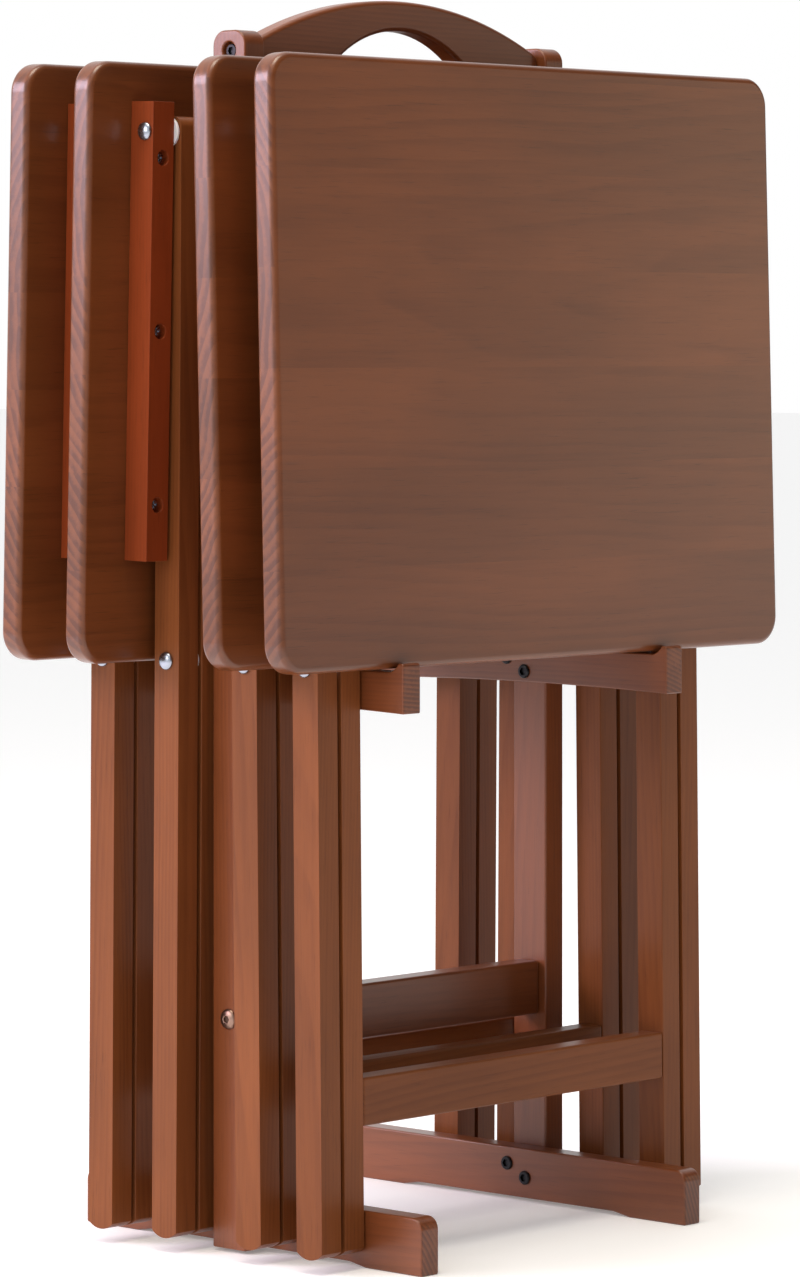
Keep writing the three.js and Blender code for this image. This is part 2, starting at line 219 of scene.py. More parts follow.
def stained_wood(
    name, early, late, contrast=0.5, stave=0.0, rough=0.36, ring=3 * MM, shine=0.16, coat=0.08
):
    """Stained and lacquered wood, solid all through, so faces show long grain and ends show rings.

    early and late are the colours of a year's pale and dark growth, ring its width, stave the width
    of the strips that a glued panel is made of, or 0 for a board in one piece. shine is the strength
    of the wood's own sheen, and coat the amount of lacquer that stands on it.
    """
    material = bpy.data.materials.new(name)
    material.use_nodes = True
    tree = material.node_tree
    nodes, links = tree.nodes, tree.links
    shader = nodes["Principled BSDF"]

    def node(kind, **settings):
        made = nodes.new(kind)
        for key, value in settings.items():
            setattr(made, key, value)
        return made

    def math_node(operation, first, second=0.0):
        made = node("ShaderNodeMath", operation=operation)
        for socket, value in zip(made.inputs, (first, second)):
            if isinstance(value, (int, float)):
                socket.default_value = value
            else:
                links.new(value, socket)
        return made.outputs[0]

    def vector_node(operation, first, second):
        made = node("ShaderNodeVectorMath", operation=operation)
        for socket, value in zip(made.inputs, (first, second)):
            if isinstance(value, tuple):
                socket.default_value = value
            else:
                links.new(value, socket)
        return made.outputs[1 if operation == "LENGTH" else 0]

    def grain_noise(stretch, scale, detail, roughness):
        made = node("ShaderNodeTexNoise")
        made.inputs["Scale"].default_value = scale
        made.inputs["Detail"].default_value = detail
        made.inputs["Roughness"].default_value = roughness
        links.new(vector_node("MULTIPLY", plank, (stretch, 1.0, 1.0)), made.inputs["Vector"])
        return made.outputs["Fac"]

    def ramp_node(value, *stops):
        made = node("ShaderNodeMapRange", interpolation_type="SMOOTHSTEP")
        for socket, setting in zip(("From Min", "From Max", "To Min", "To Max"), stops):
            made.inputs[socket].default_value = setting
        links.new(value, made.inputs["Value"])
        return made.outputs[0]

    def mix_node(amount, first, second, blend="MIX"):
        made = node("ShaderNodeMix", data_type="RGBA", blend_type=blend)
        for socket, value in ((made.inputs[0], amount), (made.inputs[6], first), (made.inputs[7], second)):
            if isinstance(value, (int, float)):
                socket.default_value = value
            elif isinstance(value, tuple):
                socket.default_value = (*value, 1)
            else:
                links.new(value, socket)
        return made.outputs[2]

    plank = node("ShaderNodeAttribute", attribute_name="plank").outputs["Vector"]
    tone = 0.5
    if stave:
        parts = node("ShaderNodeSeparateXYZ")
        links.new(plank, parts.inputs[0])
        strip = math_node("FLOOR", math_node("DIVIDE", parts.outputs[2], stave))
        chance = node("ShaderNodeTexWhiteNoise", noise_dimensions="1D")
        links.new(strip, chance.inputs["W"])
        shift = vector_node("MULTIPLY", chance.outputs["Color"], STAVE_SHIFT)
        plank = vector_node("ADD", plank, shift)
        tone = chance.outputs["Value"]

    slow = grain_noise(*GRAIN_WANDER)
    streaks = grain_noise(*GRAIN_STREAKS)
    bands = grain_noise(*GRAIN_BANDS)
    pores = grain_noise(*GRAIN_PORES)
    clouds = grain_noise(*GRAIN_CLOUDS)

    heart = vector_node("MULTIPLY", plank, (HEART_STRETCH, 1.0, 1.0))
    radius = node("ShaderNodeSeparateXYZ")
    links.new(heart, radius.inputs[0])
    flat = node("ShaderNodeCombineXYZ")
    links.new(math_node("ADD", radius.outputs[1], radius.outputs[0]), flat.inputs[1])
    links.new(radius.outputs[2], flat.inputs[2])
    out = vector_node("LENGTH", flat.outputs[0], (0.0, 0.0, 0.0))
    wander = math_node("MULTIPLY", math_node("SUBTRACT", slow, 0.5), RING_WANDER)
    years = math_node("ADD", math_node("DIVIDE", out, ring), wander)
    year = math_node("FRACT", years)
    growth = math_node("MULTIPLY", ramp_node(year, *RING_DARKENS), ramp_node(year, *RING_PALES))

    end_grain = node("ShaderNodeAttribute", attribute_name="end_grain").outputs["Fac"]
    cut_end = ramp_node(end_grain, *CUT_END)
    ringed = math_node("ADD", math_node("MULTIPLY", cut_end, RINGS_MORE_ON_ENDS), RINGS_ON_FACES)
    ringed = math_node("MULTIPLY", ringed, ramp_node(bands, *RINGS_BY_BANDS))
    figure = math_node("MULTIPLY", growth, ringed)
    figure = math_node("ADD", figure, math_node("MULTIPLY", bands, BANDS_IN_FIGURE))
    for source, share in ((streaks, STREAKS_IN_FIGURE), (tone, STAVES_IN_FIGURE)):
        swing = math_node("SUBTRACT", source, 0.5)
        figure = math_node("ADD", figure, math_node("MULTIPLY", swing, share))
    depth = math_node("ADD", math_node("MULTIPLY", cut_end, CONTRAST_MORE_ON_ENDS), contrast)
    amount = math_node("MULTIPLY", ramp_node(figure, *FIGURE_TO_STAIN), depth)
    colour = mix_node(amount, early, late)
    shade = ramp_node(clouds, *CLOUD_SHADE)
    tint = node("ShaderNodeCombineXYZ")
    for socket in tint.inputs:
        links.new(shade, socket)
    colour = mix_node(1.0, colour, tint.outputs[0], "MULTIPLY")
    open_pores = ramp_node(pores, *PORE_STAIN)
    colour = mix_node(open_pores, colour, tuple(PORE_DARK * c for c in late))
    links.new(colour, shader.inputs["Base Color"])

    gloss = math_node("MULTIPLY", streaks, GLOSS_BY_STREAKS)
    gloss = math_node("ADD", gloss, rough - GLOSS_BY_STREAKS / 2)
    gloss = math_node("ADD", gloss, math_node("MULTIPLY", clouds, GLOSS_BY_CLOUDS))
    links.new(gloss, shader.inputs["Roughness"])
    shader.inputs["Coat Weight"].default_value = coat
    shader.inputs["Coat Roughness"].default_value = COAT_ROUGH
    shader.inputs["Specular IOR Level"].default_value = shine
    raised = math_node("MULTIPLY", streaks, STREAK_RELIEF)
    relief = math_node("SUBTRACT", raised, math_node("MULTIPLY", open_pores, PORE_RELIEF))
    bump = node("ShaderNodeBump")
    bump.inputs["Strength"].default_value = RELIEF_STRENGTH
    bump.inputs["Distance"].default_value = RELIEF_DEEP
    links.new(relief, bump.inputs["Height"])
    links.new(bump.outputs[0], shader.inputs["Normal"])
    return material


stand_wood = stained_wood("stand_wood", STAND_EARLY, STAND_LATE, shine=0.3, coat=0.45)

for side in SIDES:
    node_name = f"stand_upright_{side}"
    low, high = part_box(node_name)
    r = POST_SHOULDER
    outline = [(low.y, low.z), (high.y, low.z)]
    outline += arc(high.y - r, high.z - r, r, 0, 90) + arc(low.y + r, high.z - r, r, 90, 180)
    outside = low.x if side == "left" else high.x
    sink = drum((outside, 0, high.z - SINK_BELOW_TOP), (1, 0, 0), SINK_R, 2 * SINK_DEEP)
    post = machined(f"post_{side}", sawn(outline, low.x, high.x, "X"), POST_EDGE, "Z", bores=[sink])
    post.data.materials.append(stand_wood)
    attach(post, "stand")
    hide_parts(node_name)

# ------------------------------------------------------------------ the stand's two feet
# A foot is a flat board on edge, bolted to its post's inner face. Its top corners are rounded, and
# its underside is relieved in the middle, so that it stands on a pad at each end.

FOOT_ROUND = 8 * MM
FOOT_RELIEF = 2.5 * MM
FOOT_PAD = 48 * MM
FOOT_EASE = 14 * MM
FOOT_EDGE = 1.4 * MM

for side in SIDES:
    node_name = f"stand_foot_{side}"
    low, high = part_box(node_name)
    half, r = high.y, FOOT_ROUND
    eased = half - FOOT_PAD - FOOT_EASE
    outline = [(-half, low.z), (FOOT_PAD - half, low.z), (-eased, low.z + FOOT_RELIEF)]
    outline += [(eased, low.z + FOOT_RELIEF), (half - FOOT_PAD, low.z), (half, low.z)]
    outline += arc(half - r, high.z - r, r, 0, 90) + arc(r - half, high.z - r, r, 90, 180)
    foot = machined(f"foot_{side}", sawn(outline, low.x, high.x, "X"), FOOT_EDGE, "Y")
    foot.data.materials.append(stand_wood)
    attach(foot, "stand")
    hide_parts(node_name)

# ------------------------------------------------------------------ the stand's two arms
# An arm carries the folded tables at half height. Each end sweeps up into a short tip, so that the
# outermost table can't slide off, and the lower edge is bowed up a little.

ARM_TIP_UP = 5.4 * MM
ARM_TIP_LONG = 8.5 * MM
ARM_BOW = 2.6 * MM
ARM_TIP_ROUND = 2 * MM
ARM_SWEEP = 4 * MM
ARM_SWEEP_END = 3 * MM
ARM_SWEEP_PULL = 1 * MM
ARM_EDGE = 1.2 * MM


def bezier(start, pull, end, steps=10):
    """A quadratic curve between two points of an outline, drawn towards a third."""
    points = []
    for i in range(steps + 1):
        t = i / steps
        weighed = list(zip(((1 - t) ** 2, 2 * t * (1 - t), t * t), (start, pull, end)))
        points.append(tuple(sum(weight * point[k] for weight, point in weighed) for k in (0, 1)))
    return points


for side in SIDES:
    node_name = f"stand_arm_{side}"
    low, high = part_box(node_name)
    half, bed = high.y, high.z - ARM_TIP_UP
    root = half - ARM_TIP_LONG
    r, pull = ARM_TIP_ROUND, ARM_SWEEP_PULL
    outline = bezier((-half, low.z), (0, low.z + 2 * ARM_BOW), (half, low.z), 16)
    outline += arc(half - r, high.z - r, r, 0, 90, 4)
    sweep_top, sweep_end = (root + ARM_SWEEP, high.z), (root - ARM_SWEEP_END, bed)
    sweep = bezier(sweep_top, (root + pull, bed + pull), sweep_end)
    outline += sweep + [(-y, z) for y, z in reversed(sweep)]
    outline += arc(r - half, high.z - r, r, 90, 180, 4)
    arm = machined(f"arm_{side}", sawn(outline, low.x, high.x, "X"), ARM_EDGE, "Y")
    arm.data.materials.append(stand_wood)
    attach(arm, "stand")
    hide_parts(node_name)

# ------------------------------------------------------------------ the stretcher
# One straight board between the posts keeps the stand square. A bolt through each post holds it.

STRETCHER_EDGE = 2 * MM

low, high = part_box("stand_stretcher")
outline = [(low.y, low.z), (high.y, low.z), (high.y, high.z), (low.y, high.z)]
stretcher = machined("stretcher", sawn(outline, low.x, high.x, "X"), STRETCHER_EDGE, "X")
stretcher.data.materials.append(stand_wood)
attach(stretcher, "stand")
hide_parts("stand_stretcher")

# ------------------------------------------------------------------ the handle
# The handle is band-sawn from one board: a bowed top over an arch for the hand. All its long edges
# are rounded over generously, because a hand goes through and over it.

HANDLE_END_HIGH = 39.6 * MM
HANDLE_ARCH_R = 95 * MM
HANDLE_CROWN_THICK = 19.7 * MM
HANDLE_EDGE = 3.2 * MM

low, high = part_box("stand_handle")
middle = (low.x + high.x) / 2
half = (high.x - low.x) / 2
rise = high.z - low.z - HANDLE_END_HIGH
crown_r = (half**2 + rise**2) / (2 * rise)
crown_turn = math.degrees(math.asin(half / crown_r))
arch_z = high.z - HANDLE_CROWN_THICK - HANDLE_ARCH_R
arch_turn = math.degrees(math.asin((low.z - arch_z) / HANDLE_ARCH_R))
outline = [(low.x, low.z)]
outline += arc(middle, arch_z, HANDLE_ARCH_R, 180 - arch_turn, arch_turn, 36)
outline += [(high.x, low.z)]
outline += arc(middle, high.z - crown_r, crown_r, 90 - crown_turn, 90 + crown_turn, 40)
handle = machined("handle", sawn(outline, low.y, high.y, "Y"), HANDLE_EDGE, "X", edge_steps=5)
handle.data.materials.append(stand_wood)
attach(handle, "stand")
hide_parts("stand_handle")

# ------------------------------------------------------------------ the stand's bolts
# Black socket bolts hold the feet and the arms, two to each, one above the other on a slant. A bronzed
# domed bolt goes through each post into the stretcher. A black socket bolt, sunk in the counterbore
# in each post's head, holds the handle.

SOCKET_HEAD_R = 4.6 * MM
SOCKET_HEAD_HIGH = 1.8 * MM
SOCKET_CHAMFER = 0.6 * MM
SOCKET_CHAMFER_FROM = 1.1 * MM
SOCKET_FLOOR = 0.2 * MM
SOCKET_ROOT = 2 * MM
SOCKET_HEX = 2.4 * MM
DOME_R = 6.6 * MM
DOME_RIM = 0.4 * MM
DOME_RISE = 2.6 * MM
DOME_FLOOR = 1.4 * MM
DOME_ROOT = 1.5 * MM
SUNK_ABOVE_FLOOR = 0.2 * MM
CREASE_ANGLE = 35
FOOT_BOLTS = ((5.7 * MM, 24.8 * MM), (-10.3 * MM, 16.4 * MM))
ARM_BOLTS = ((6 * MM, 366.5 * MM), (-9.7 * MM, 357.5 * MM))
STRETCHER_BOLT_Z = 148.5 * MM


def turned(name, rows, sides=36):
    """A part turned about Z. A row is a radius and a height, with "hex" if its ring is six-sided."""
    bm = bmesh.new()
    rings = []
    for radius, height, *shape in rows:
        if radius == 0:
            rings.append([bm.verts.new((0, 0, height))])
            continue
        ring = []
        for i in range(sides):
            turn = 2 * math.pi * i / sides
            six = math.cos((turn + math.pi / 6) % (math.pi / 3) - math.pi / 6) if shape else 1
            spot = (radius / six * math.cos(turn), radius / six * math.sin(turn), height)
            ring.append(bm.verts.new(spot))
        rings.append(ring)
    for one, other in zip(rings, rings[1:]):
        for i in range(sides):
            j = (i + 1) % sides
            corners = [one[i % len(one)], one[j % len(one)]]
            corners += [other[j % len(other)], other[i % len(other)]]
            bm.faces.new(list(dict.fromkeys(corners)))
    bmesh.ops.recalc_face_normals(bm, faces=bm.faces)
    mesh = bpy.data.meshes.new(name)
    bm.to_mesh(mesh)
    bm.free()
    mesh.shade_smooth()
    mesh.set_sharp_from_angle(angle=math.radians(CREASE_ANGLE))
    return add_object(name, mesh)


GRIT_SCALE = 900
GRIT_DETAIL = 4
GRIT_IN_GLOSS = 0.12
GRIT_SHADE = 0.78
GRIT_STRENGTH = 0.08
GRIT_DEEP = 0.2 * MM


def metal(name, colour, roughness):
    """Bolt metal with a fine grit in it, which makes its gloss and its colour a little uneven."""
    material = bpy.data.materials.new(name)
    material.use_nodes = True
    nodes, links = material.node_tree.nodes, material.node_tree.links
    shader = nodes["Principled BSDF"]
    shader.inputs["Metallic"].default_value = 1.0
    place = nodes.new("ShaderNodeTexCoord")
    grit = nodes.new("ShaderNodeTexNoise")
    grit.inputs["Scale"].default_value = GRIT_SCALE
    grit.inputs["Detail"].default_value = GRIT_DETAIL
    links.new(place.outputs["Object"], grit.inputs["Vector"])
    spread = nodes.new("ShaderNodeMapRange")
    spread.inputs["To Min"].default_value = roughness - GRIT_IN_GLOSS
    spread.inputs["To Max"].default_value = roughness + GRIT_IN_GLOSS
    links.new(grit.outputs["Fac"], spread.inputs["Value"])
    links.new(spread.outputs[0], shader.inputs["Roughness"])
    tint = nodes.new("ShaderNodeMix")
    tint.data_type = "RGBA"
    links.new(grit.outputs["Fac"], tint.inputs[0])
    tint.inputs[6].default_value = (*(GRIT_SHADE * c for c in colour), 1)
    tint.inputs[7].default_value = (*colour, 1)
    links.new(tint.outputs[2], shader.inputs["Base Color"])
    bump = nodes.new("ShaderNodeBump")
    bump.inputs["Strength"].default_value = GRIT_STRENGTH
    bump.inputs["Distance"].default_value = GRIT_DEEP
    links.new(grit.outputs["Fac"], bump.inputs["Height"])
    links.new(bump.outputs[0], shader.inputs["Normal"])
    return material


def hardware_tree():
    """Nodes that set one piece of hardware on each point, turned along the point's "facing"."""
    tree = bpy.data.node_groups.new("hardware on points", "GeometryNodeTree")
    face = tree.interface
    face.new_socket("Geometry", in_out="INPUT", socket_type="NodeSocketGeometry")
    face.new_socket("Hardware", in_out="INPUT", socket_type="NodeSocketObject")
    face.new_socket("Size", in_out="INPUT", socket_type="NodeSocketFloat").default_value = 1.0
    face.new_socket("Finish", in_out="INPUT", socket_type="NodeSocketMaterial")
    face.new_socket("Geometry", in_out="OUTPUT", socket_type="NodeSocketGeometry")
    nodes, links = tree.nodes, tree.links
    given = nodes.new("NodeGroupInput")
    result = nodes.new("NodeGroupOutput")
    piece = nodes.new("GeometryNodeObjectInfo")
    facing = nodes.new("GeometryNodeInputNamedAttribute")
    facing.data_type = "FLOAT_VECTOR"
    facing.inputs["Name"].default_value = "facing"
    turn = nodes.new("FunctionNodeAlignRotationToVector")
    copies = nodes.new("GeometryNodeInstanceOnPoints")
    real = nodes.new("GeometryNodeRealizeInstances")
    finish = nodes.new("GeometryNodeSetMaterial")
    links.new(given.outputs["Hardware"], piece.inputs["Object"])
    links.new(facing.outputs["Attribute"], turn.inputs["Vector"])
    links.new(given.outputs["Geometry"], copies.inputs["Points"])
    links.new(piece.outputs["Geometry"], copies.inputs["Instance"])
    links.new(turn.outputs[0], copies.inputs["Rotation"])
    links.new(given.outputs["Size"], copies.inputs["Scale"])
    links.new(copies.outputs[0], real.inputs[0])
    links.new(real.outputs[0], finish.inputs["Geometry"])
    links.new(given.outputs["Finish"], finish.inputs["Material"])
    links.new(finish.outputs[0], result.inputs[0])
    return tree


hardware_nodes = hardware_tree()
AS_TURNED = 1.0


def set_hardware(name, hardware, places, finish):
    """One object with a piece of hardware at each place. A place is a point and the way it faces."""
    mesh = bpy.data.meshes.new(name)
    mesh.from_pydata([tuple(point) for point, _ in places], [], [])
    facing = mesh.attributes.new("facing", "FLOAT_VECTOR", "POINT")
    facing.data.foreach_set("vector", [c for _, way in places for c in way])
    made = add_object(name, mesh)
    fitted = made.modifiers.new("hardware", "NODES")
    fitted.node_group = hardware_nodes
    given = [socket for socket in hardware_nodes.interface.items_tree if socket.in_out == "INPUT"]
    sockets = {socket.name: socket.identifier for socket in given}
    fitted[sockets["Hardware"]] = hardware
    fitted[sockets["Size"]] = AS_TURNED
    fitted[sockets["Finish"]] = finish
    settle(made)
    return made


black_steel = metal("black_steel", (0.035, 0.035, 0.038), 0.42)
bronze_steel = metal("bronzed_steel", (0.34, 0.22, 0.17), 0.34)

socket_bolt = turned(
    "socket_bolt",
    [
        (0, -SOCKET_ROOT),
        (SOCKET_HEAD_R, -SOCKET_ROOT),
        (SOCKET_HEAD_R, SOCKET_CHAMFER_FROM),
        (SOCKET_HEAD_R - SOCKET_CHAMFER, SOCKET_HEAD_HIGH),
        (SOCKET_HEX, SOCKET_HEAD_HIGH, "hex"),
        (SOCKET_HEX, SOCKET_FLOOR, "hex"),
        (0, SOCKET_FLOOR),
    ],
)
dome_turns = np.radians([18, 36, 54, 72])
dome_top = DOME_RIM + DOME_RISE
domed_bolt = turned(
    "domed_bolt",
    [(0, -DOME_ROOT), (DOME_R, -DOME_ROOT), (DOME_R, DOME_RIM)]
    + [(DOME_R * math.cos(a), DOME_RIM + DOME_RISE * math.sin(a)) for a in dome_turns]
    + [(SOCKET_HEX, dome_top, "hex"), (SOCKET_HEX, DOME_FLOOR, "hex"), (0, DOME_FLOOR)],
)

socket_places = []
dome_places = []
sunk_places = []
for side, inward in zip(SIDES, (1, -1)):
    foot_low, foot_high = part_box(f"stand_foot_{side}")
    post_low, post_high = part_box(f"stand_upright_{side}")
    inner_face = foot_high.x if inward > 0 else foot_low.x
    outer_face = post_low.x if inward > 0 else post_high.x
    socket_places += [((inner_face, y, z), (inward, 0, 0)) for y, z in FOOT_BOLTS + ARM_BOLTS]
    dome_places.append(((outer_face, 0, STRETCHER_BOLT_Z), (-inward, 0, 0)))
    sunk = outer_face + inward * (SINK_DEEP - SUNK_ABOVE_FLOOR)
    sunk_places.append(((sunk, 0, post_high.z - SINK_BELOW_TOP), (-inward, 0, 0)))

for name, kind, places, finish in (
    ("stand_socket_bolts", socket_bolt, socket_places, black_steel),
    ("stand_handle_bolts", socket_bolt, sunk_places, black_steel),
    ("stand_stretcher_bolts", domed_bolt, dome_places, bronze_steel),
):
    bolts = set_hardware(name, kind, places, finish)
    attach(bolts, "stand")

# ------------------------------------------------------------------ the tables' legs
# Each table stands on two pairs of hardwood legs that cross like scissors. The inner pair folds flat
# between the outer pair. Feet are rounded to stand at a slant, and tops to clear the tabletop. Each
# leg is bored for its bolts, with a recess on its inner face for the one nut that sits in it.

TABLE_NUMBERS = (1, 2, 3, 4)
LEG_DEEP = 21.8 * MM
LEG_LONG = 714 * MM
LEG_TOP_ROUND = 7 * MM
LEG_FOOT_R = 16 * MM
LEG_EDGE = 1 * MM
LEG_WIDE = 17.4 * MM
LOCK_BAR_UP = 704 * MM
SCISSOR_UP = 367.6 * MM
BORE_R = 3.3 * MM
NUT_RECESS_R = 5.3 * MM
NUT_RECESS_DEEP = 3.6 * MM
LEG_EARLY = (0.200, 0.060, 0.016)
LEG_LATE = (0.088, 0.022, 0.006)


def middle_of(node_name):
    low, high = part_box(node_name)
    return (low + high) / 2


def table_place(number):
    """A table's own frame: X to its right, Y away from the stand, Z up its legs from their feet."""
    bar = middle_of(f"tray_{number}_lock_bar")
    scissor = middle_of(f"tray_{number}_scissor_bolt_left")
    scissor.x = bar.x
    up = (bar - scissor).normalized()
    away = Vector((0, 1, 0)) if middle_of(f"tray_{number}_tabletop").y > bar.y else Vector((0, -1, 0))
    right = away.cross(up).normalized()
    away = up.cross(right)
    origin = bar - LOCK_BAR_UP * up - LEG_DEEP / 2 * away
    return Matrix.Translation(origin) @ Matrix((right, away, up)).transposed().to_4x4()


def legs_body(number):
    """The body that a table's legs move with. An inner table is one body, top and legs."""
    return f"tray_{number}_legs" if f"tray_{number}_legs" in frame["bodies"] else f"tray_{number}"


def leg_outline():
    """A leg from the side: (y, z) points, with a round sole and two round corners at the top."""
    sole = math.degrees(math.asin(LEG_DEEP / 2 / LEG_FOOT_R))
    r = LEG_TOP_ROUND
    outline = arc(LEG_DEEP / 2, LEG_FOOT_R, LEG_FOOT_R, -90 - sole, -90 + sole, 12)
    outline += arc(LEG_DEEP - r, LEG_LONG - r, r, 0, 90)
    outline += arc(r, LEG_LONG - r, r, 90, 180)
    return outline


leg_wood = stained_wood("leg_wood", LEG_EARLY, LEG_LATE)

for number in TABLE_NUMBERS:
    place = table_place(number)
    for pair in ("outer", "inner"):
        for side in SIDES:
            node_name = f"tray_{number}_{pair}_leg_{side}"
            low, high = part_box(node_name)
            across = sorted((place.inverted() @ spot).x for spot in (low, high))
            inside = min(across, key=abs)
            nut_up = LOCK_BAR_UP if pair == "outer" else SCISSOR_UP
            nut_spot = (inside, LEG_DEEP / 2, nut_up)
            bores = [drum(nut_spot, (1, 0, 0), NUT_RECESS_R, 2 * NUT_RECESS_DEEP)]
            middle_x = sum(across) / 2
            for up in {nut_up, SCISSOR_UP}:
                bores.append(drum((middle_x, LEG_DEEP / 2, up), (1, 0, 0), BORE_R, 2 * LEG_WIDE))
            leg = machined(
                f"{node_name}_shaped", sawn(leg_outline(), *across, "X"), LEG_EDGE, "Z", place, bores
            )
            leg.data.materials.append(leg_wood)
            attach(leg, legs_body(number))
            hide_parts(node_name)

# ------------------------------------------------------------------ rails and lock bars
# A flat rail low down and a round bar at the top tie the inner legs. The rail is flush with the
# legs' faces away from the stand. The open tabletop rests on the bar.

RAIL_LOW = 79.8 * MM
RAIL_HIGH = 30.5 * MM
RAIL_THICK = 18 * MM
RAIL_EDGE = 1.8 * MM
LOCK_BAR_R = 10.5 * MM
LOCK_BAR_EDGE = 1 * MM
LOCK_BAR_SIDES = 40

for number in TABLE_NUMBERS:
    place = table_place(number)
    low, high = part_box(f"tray_{number}_lower_rail")
    across = sorted((place.inverted() @ spot).x for spot in (low, high))
    near, far, foot, head = LEG_DEEP - RAIL_THICK, LEG_DEEP, RAIL_LOW, RAIL_LOW + RAIL_HIGH
    outline = [(near, foot), (far, foot), (far, head), (near, head)]
    rail = machined(f"tray_{number}_rail", sawn(outline, *across, "X"), RAIL_EDGE, "X", place)
    last_turn = 360 - 360 / LOCK_BAR_SIDES
    outline = arc(LEG_DEEP / 2, LOCK_BAR_UP, LOCK_BAR_R, 0, last_turn, LOCK_BAR_SIDES - 1)
    bar = machined(f"tray_{number}_bar", sawn(outline, *across, "X"), LOCK_BAR_EDGE, "X", place)
    for piece, node_name in ((rail, "lower_rail"), (bar, "lock_bar")):
        piece.data.materials.append(leg_wood)
        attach(piece, legs_body(number))
        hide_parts(f"tray_{number}_{node_name}")

# ------------------------------------------------------------------ the scissor bolts
# A domed steel bolt joins each outer leg to its inner leg at half height. A white nylon washer
# between the two legs lets them turn, and a nut is sunk in the inner leg.

BOLT_HEAD_R = 5.8 * MM
BOLT_DOME = 3 * MM
BOLT_RIM = 0.5 * MM
UNDER_HEAD = 0.3 * MM
SHANK_R = 3 * MM
NUT_R = 4.4 * MM
NUT_THICK = 3 * MM
WASHER_R = 9 * MM
WASHER_EASE = 0.4 * MM
WASHER_PLAY = 0.6 * MM
WASHER_HOLE_PLAY = 0.15 * MM
LEG_GAP = 3.4 * MM
NYLON_ROUGH = 0.42
NYLON_DEPTH = 2 * MM
NYLON_MOTTLE = 260
NYLON_GREY = (0.74, 0.72, 0.74)
NYLON_WHITE = (0.86, 0.85, 0.86)

steel = metal("zinc_steel", (0.42, 0.46, 0.53), 0.24)


def nylon_finish():
    """Milky white nylon with a faint moulded mottle."""
    material = bpy.data.materials.new("nylon")
    material.use_nodes = True
    nodes, links = material.node_tree.nodes, material.node_tree.links
    shader = nodes["Principled BSDF"]
    shader.inputs["Roughness"].default_value = NYLON_ROUGH
    shader.inputs["Subsurface Weight"].default_value = 0.15
    shader.inputs["Subsurface Scale"].default_value = NYLON_DEPTH
    place = nodes.new("ShaderNodeTexCoord")
    mottle = nodes.new("ShaderNodeTexNoise")
    mottle.inputs["Scale"].default_value = NYLON_MOTTLE
    links.new(place.outputs["Object"], mottle.inputs["Vector"])
    tint = nodes.new("ShaderNodeMix")
    tint.data_type = "RGBA"
    links.new(mottle.outputs["Fac"], tint.inputs[0])
    tint.inputs[6].default_value = (*NYLON_GREY, 1)
    tint.inputs[7].default_value = (*NYLON_WHITE, 1)
    links.new(tint.outputs[2], shader.inputs["Base Color"])
    return material


nylon = nylon_finish()


def through_bolt(name, length):
    """A domed bolt along Z with its shank and its nut. Z = 0 is under the head."""
    rise = BOLT_DOME - BOLT_RIM
    turns = np.radians([0, 15, 30, 45, 60, 75])
    dome = [(BOLT_HEAD_R * math.cos(a), BOLT_RIM + rise * math.sin(a)) for a in turns]
    rows = [(0, -length), (NUT_R, -length, "hex"), (NUT_R, NUT_THICK - length, "hex")]
    rows += [(SHANK_R, NUT_THICK - length), (SHANK_R, 0), (BOLT_HEAD_R, 0)]
    return turned(name, rows + dome + [(0, BOLT_DOME)])


def nylon_washer(name, radius, thick):
    """A flat washer along Z, with Z = 0 at its middle."""
    half, ease = thick / 2, WASHER_EASE
    hole = SHANK_R + WASHER_HOLE_PLAY
    rows = [(hole, -half), (radius - ease, -half), (radius, ease - half), (radius, half - ease)]
    rows += [(radius - ease, half), (hole, half), (hole, -half)]
    return turned(name, rows)


scissor_bolt = through_bolt("scissor_bolt", 2 * LEG_WIDE + LEG_GAP)
scissor_washer = nylon_washer("scissor_washer", WASHER_R, LEG_GAP - WASHER_PLAY)

for number in TABLE_NUMBERS:
    place = table_place(number)
    turn = place.to_3x3()
    bolt_places = []
    washer_places = []
    for side, sign in zip(SIDES, (-1, 1)):
        low, high = (place.inverted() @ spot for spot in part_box(f"tray_{number}_outer_leg_{side}"))
        outside = sign * max(abs(low.x), abs(high.x))
        inside = sign * min(abs(low.x), abs(high.x))
        way = turn @ Vector((sign, 0, 0))
        under_head = Vector((outside + sign * UNDER_HEAD, LEG_DEEP / 2, SCISSOR_UP))
        between = Vector((inside - sign * LEG_GAP / 2, LEG_DEEP / 2, SCISSOR_UP))
        bolt_places.append((place @ under_head, way))
        washer_places.append((place @ between, way))
    bolts = set_hardware(f"tray_{number}_scissor_bolts", scissor_bolt, bolt_places, steel)
    washers = set_hardware(f"tray_{number}_scissor_washers", scissor_washer, washer_places, nylon)
    for piece in (bolts, washers):
        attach(piece, legs_body(number))
    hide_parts(*(f"tray_{number}_scissor_bolt_{side}" for side in SIDES))

# ------------------------------------------------------------------ the tabletops
# A tabletop is a panel glued up from strips of wood, with round corners and rounded-over edges.
# Its grain runs along its long side, so its short edges show end grain.

TOP_THICK = 17 * MM
TOP_DEEP = 382 * MM
TOP_WIDE = 482 * MM
TOP_CORNER = 19 * MM
TOP_EDGE = 4 * MM
TOP_ABOVE_HINGE = 44 * MM
HINGE_TO_UNDERSIDE = 13.4 * MM
TOP_HANG = math.radians(0.9)
STAVE = 62 * MM
TOP_RING = 6.5 * MM
TOP_EARLY = (0.165, 0.046, 0.012)
TOP_LATE = (0.066, 0.015, 0.004)


